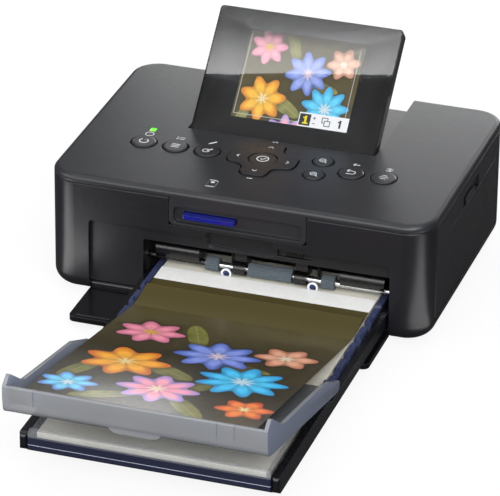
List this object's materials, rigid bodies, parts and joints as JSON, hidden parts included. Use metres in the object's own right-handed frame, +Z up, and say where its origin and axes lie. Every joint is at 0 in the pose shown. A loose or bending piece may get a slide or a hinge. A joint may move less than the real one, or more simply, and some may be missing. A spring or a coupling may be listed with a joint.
{
  "type": "compact photo printer",
  "caption": "Compact photo printer with tilting screen, key row, card slot, folding front cover, side ink door and a pull-out paper cassette with hinged lids.",
  "frame": {"origin": "on the table, below the middle of the whole part with its screen up and cassette in", "axes": "+X to the right seen from the front, +Y from the front to the back, +Z up"},
  "size_m": [0.178, 0.297, 0.1033],
  "materials": {
    "case_black": "fine satin texture",
    "case_grey": "fine satin texture",
    "inner_black": "matte",
    "key_black": "satin",
    "foot_rubber": "matte",
    "roller_rubber": "ribbed, matte",
    "steel": "turned",
    "plated_sheet": "zinc plated",
    "screen_gloss": "high gloss",
    "screen_cover": "clear, glossy",
    "display": "lit picture",
    "lamp_green": "lit",
    "card_blue": "satin",
    "board_green": "solder mask",
    "smoke_clear": "translucent",
    "navy_clear": "dark translucent",
    "clear": "clear",
    "paper_white": "coated photo paper, semi-gloss",
    "print": "printed photo paper, glossy",
    "gear_white": "moulded acetal",
    "ring_white": "moulded",
    "motor_steel": "plated",
    "head_alloy": "extruded",
    "head_black": "ceramic, glossy",
    "ink_grey": "matte",
    "ribbon_film": "film",
    "bush_brass": "sintered",
    "port_metal": "plated"
  },
  "bodies": {
    "housing": {"lower_case": "case_black", "rubber_feet": "foot_rubber", "case_screws": "steel", "top_cover": "case_grey", "power_lamp": "lamp_green", "key_board": "board_green", "card_reader": "plated_sheet", "cover_latch": "inner_black", "chassis_frame": "plated_sheet", "bearing_bushes": "bush_brass", "exit_beam": "inner_black", "guide_rings": "ring_white", "roller_brackets": "inner_black", "head_bracket": "plated_sheet", "head_sink": "head_alloy", "print_head": "head_black", "ink_cassette": "ink_grey", "ink_ribbon": "ribbon_film", "paper_guide": "inner_black", "main_board": "board_green", "power_inlet": "inner_black", "usb_socket": "port_metal", "drive_motor": "motor_steel", "motor_bracket": "plated_sheet"},
    "screen": {"screen_shell": "screen_gloss", "screen_glass": "screen_cover", "screen_display": "display"},
    "ink_door_body": {"ink_door": "case_black"},
    "front_cover_body": {"front_cover": "case_black"},
    "card": {"memory_card": "card_blue"},
    "cassette": {"cassette_tray": "inner_black", "cassette_sides": "navy_clear", "pressure_plate": "plated_sheet", "paper_stack": "paper_white", "printed_sheet": "print"},
    "inner_lid_body": {"inner_lid": "clear"},
    "outer_lid_body": {"outer_lid": "smoke_clear"},
    "exit_rollers_body": {"eject_shaft": "steel", "exit_rollers": "roller_rubber", "eject_gear": "gear_white"},
    "pickup": {"pickup_shaft": "steel", "pickup_roller": "roller_rubber"},
    "platen": {"platen_roller": "roller_rubber", "platen_gear": "gear_white"},
    "front_idler": {"idler_gear_front": "gear_white"},
    "rear_idler": {"idler_gear_rear": "gear_white"},
    "pinion": {"motor_pinion": "gear_white"},
    "capstan": {"capstan_roller": "steel"},
    "pinch": {"pinch_roller": "roller_rubber"},
    "supply": {"supply_spool": "ink_grey"},
    "takeup": {"takeup_spool": "ink_grey"},
    "power_button_body": {"power_button": "key_black"},
    "menu_button_body": {"menu_button": "key_black"},
    "edit_button_body": {"edit_button": "key_black"},
    "zoom_in_button_body": {"zoom_in_button": "key_black"},
    "zoom_out_button_body": {"zoom_out_button": "key_black"},
    "back_button_body": {"back_button": "key_black"},
    "print_button_body": {"print_button": "key_black"},
    "centre_button_body": {"centre_button": "key_black"},
    "direction_pad_body": {"direction_pad": "key_black"}
  },
  "joints": [
    {"name": "screen_tilt", "type": "hinge", "parent": "housing", "child": "screen", "pos_m": [0.0007, 0.0865, 0.0585], "axis": [1, 0, 0], "range_deg": [-45, 0]},
    {"name": "ink_door_swing", "type": "hinge", "parent": "housing", "child": "ink_door_body", "pos_m": [0.0878, 0.0835, 0.0118], "axis": [0, 1, 0], "range_deg": [0, 85]},
    {"name": "front_cover_fold", "type": "hinge", "parent": "housing", "child": "front_cover_body", "pos_m": [0.001, 0.0247, 0.0066], "axis": [-1, 0, 0], "range_deg": [0, 5]},
    {"name": "card_slide", "type": "slide", "parent": "housing", "child": "card", "axis": [0, -1, 0], "range_m": [0, 0.03]},
    {"name": "cassette_slide", "type": "slide", "parent": "housing", "child": "cassette", "axis": [0, -1, 0], "range_m": [0, 0.04]},
    {"name": "inner_lid_fold", "type": "hinge", "parent": "cassette", "child": "inner_lid_body", "pos_m": [0.0132, -0.0645, 0.0162], "axis": [-1, 0, 0], "range_deg": [0, 7]},
    {"name": "outer_lid_fold", "type": "hinge", "parent": "cassette", "child": "outer_lid_body", "pos_m": [0.0132, -0.0515, 0.0183], "axis": [-1, 0, 0], "range_deg": [0, 110], "deforming": ["printed_sheet"]},
    {"name": "power_press", "type": "slide", "parent": "housing", "child": "power_button_body", "axis": [0, 0, -1], "range_m": [0, 0.0007], "stiffness_N_per_m": 300, "springref_m": -0.0005},
    {"name": "menu_press", "type": "slide", "parent": "housing", "child": "menu_button_body", "axis": [0, 0, -1], "range_m": [0, 0.0007], "stiffness_N_per_m": 300, "springref_m": -0.0005},
    {"name": "edit_press", "type": "slide", "parent": "housing", "child": "edit_button_body", "axis": [0, 0, -1], "range_m": [0, 0.0007], "stiffness_N_per_m": 300, "springref_m": -0.0005},
    {"name": "zoom_in_press", "type": "slide", "parent": "housing", "child": "zoom_in_button_body", "axis": [0, 0, -1], "range_m": [0, 0.0007], "stiffness_N_per_m": 300, "springref_m": -0.0005},
    {"name": "zoom_out_press", "type": "slide", "parent": "housing", "child": "zoom_out_button_body", "axis": [0, 0, -1], "range_m": [0, 0.0007], "stiffness_N_per_m": 300, "springref_m": -0.0005},
    {"name": "back_press", "type": "slide", "parent": "housing", "child": "back_button_body", "axis": [0, 0, -1], "range_m": [0, 0.0007], "stiffness_N_per_m": 300, "springref_m": -0.0005},
    {"name": "print_press", "type": "slide", "parent": "housing", "child": "print_button_body", "axis": [0, 0, -1], "range_m": [0, 0.0007], "stiffness_N_per_m": 300, "springref_m": -0.0005},
    {"name": "centre_press", "type": "slide", "parent": "housing", "child": "centre_button_body", "axis": [0, 0, -1], "range_m": [0, 0.0007], "stiffness_N_per_m": 300, "springref_m": -0.0005},
    {"name": "direction_pad_press", "type": "slide", "parent": "housing", "child": "direction_pad_body", "axis": [0, 0, -1], "range_m": [0, 0.0007], "stiffness_N_per_m": 300, "springref_m": -0.0005},
    {"name": "platen_spin", "type": "hinge", "parent": "housing", "child": "platen", "pos_m": [0.0132, 0.0865, 0.0128], "axis": [1, 0, 0], "continuous": true},
    {"name": "rear_idler_spin", "type": "hinge", "parent": "housing", "child": "rear_idler", "pos_m": [-0.0493, 0.07131, 0.02246], "axis": [1, 0, 0], "continuous": true},
    {"name": "front_idler_spin", "type": "hinge", "parent": "housing", "child": "front_idler", "pos_m": [-0.0493, 0.04834, 0.02373], "axis": [1, 0, 0], "continuous": true},
    {"name": "exit_spin", "type": "hinge", "parent": "housing", "child": "exit_rollers_body", "pos_m": [0.0132, 0.0325, 0.0215], "axis": [1, 0, 0], "continuous": true},
    {"name": "pinion_spin", "type": "hinge", "parent": "housing", "child": "pinion", "pos_m": [-0.0493, 0.08433, 0.03338], "axis": [1, 0, 0], "continuous": true},
    {"name": "pickup_spin", "type": "hinge", "parent": "housing", "child": "pickup", "pos_m": [0.0132, 0.0525, 0.0224], "axis": [1, 0, 0], "continuous": true},
    {"name": "capstan_spin", "type": "hinge", "parent": "housing", "child": "capstan", "pos_m": [0.0132, 0.1225, 0.015], "axis": [1, 0, 0], "continuous": true},
    {"name": "pinch_spin", "type": "hinge", "parent": "housing", "child": "pinch", "pos_m": [0.0132, 0.1225, 0.0216], "axis": [1, 0, 0], "continuous": true},
    {"name": "supply_spin", "type": "hinge", "parent": "housing", "child": "supply", "pos_m": [0.0132, 0.0655, 0.032], "axis": [1, 0, 0], "continuous": true},
    {"name": "takeup_spin", "type": "hinge", "parent": "housing", "child": "takeup", "pos_m": [0.0132, 0.1075, 0.032], "axis": [1, 0, 0], "continuous": true}
  ],
  "couplings": [
    {"joint": "rear_idler_spin", "follows": "platen_spin", "ratio": -0.5},
    {"joint": "front_idler_spin", "follows": "platen_spin", "ratio": 0.54545},
    {"joint": "exit_spin", "follows": "platen_spin", "ratio": -1.2},
    {"joint": "pinion_spin", "follows": "platen_spin", "ratio": 1.2},
    {"joint": "pinch_spin", "follows": "capstan_spin", "ratio": -1}
  ]
}
